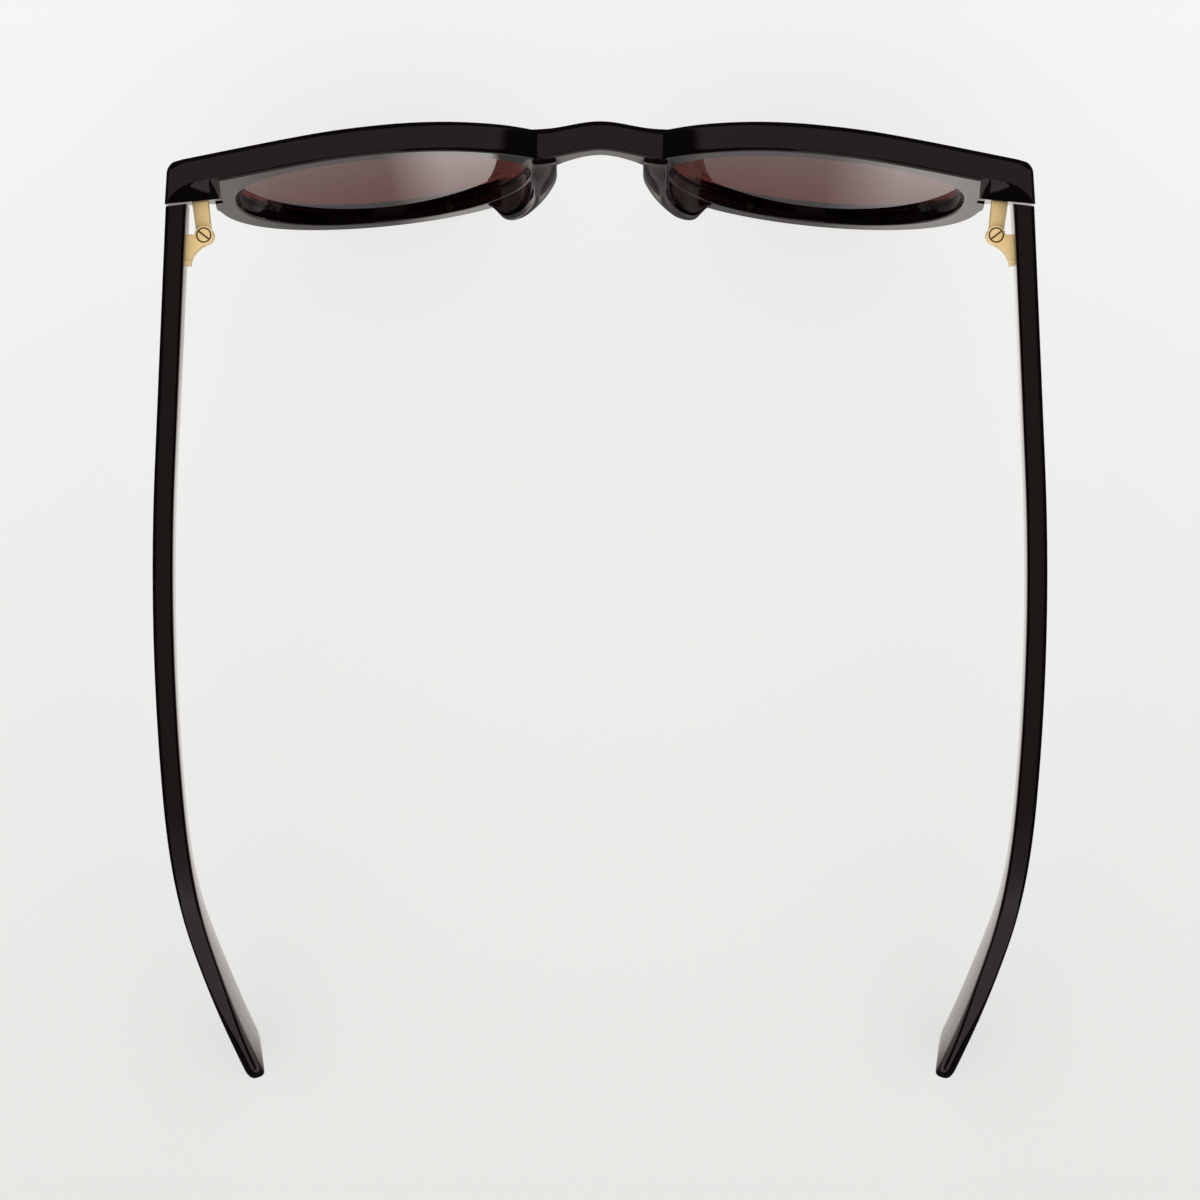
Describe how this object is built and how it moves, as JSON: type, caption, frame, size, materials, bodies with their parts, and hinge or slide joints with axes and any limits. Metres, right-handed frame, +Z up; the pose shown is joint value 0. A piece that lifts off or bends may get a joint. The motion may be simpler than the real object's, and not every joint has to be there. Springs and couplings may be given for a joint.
{
  "type": "panto sunglasses",
  "caption": "Full-rim panto sunglasses with a black acetate front, brown tinted lenses, cemented nose pads and folding temples on gold screw hinges.",
  "frame": {"origin": "on the ground under the middle of the object's box, with the temples open", "axes": "+X to the wearer's left, +Y back along the temples to their tips, +Z up; the front faces -Y"},
  "size_m": [0.144, 0.1562, 0.046],
  "materials": {
    "black_acetate": "hand polished",
    "tinted_lens": "polished",
    "gold_metal": "satin gold plate",
    "core_metal": "drawn wire"
  },
  "bodies": {
    "front": {"front_frame": "black_acetate", "left_lens": "tinted_lens", "right_lens": "tinted_lens", "left_nose_pad": "black_acetate", "right_nose_pad": "black_acetate", "left_front_hinge_leaf": "gold_metal", "right_front_hinge_leaf": "gold_metal"},
    "left_arm": {"left_temple": "black_acetate", "left_temple_core_wire": "core_metal", "left_temple_hinge_leaf": "gold_metal", "left_hinge_screw": "gold_metal"},
    "right_arm": {"right_temple": "black_acetate", "right_temple_core_wire": "core_metal", "right_temple_hinge_leaf": "gold_metal", "right_hinge_screw": "gold_metal"}
  },
  "joints": [
    {"name": "left_temple_fold", "type": "hinge", "parent": "front", "child": "left_arm", "pos_m": [0.06366, -0.05941, 0.03736], "axis": [0, 0, 1], "range_deg": [0, 88.4]},
    {"name": "right_temple_fold", "type": "hinge", "parent": "front", "child": "right_arm", "pos_m": [-0.06366, -0.05941, 0.03736], "axis": [0, 0, -1], "range_deg": [0, 76.5]}
  ]
}
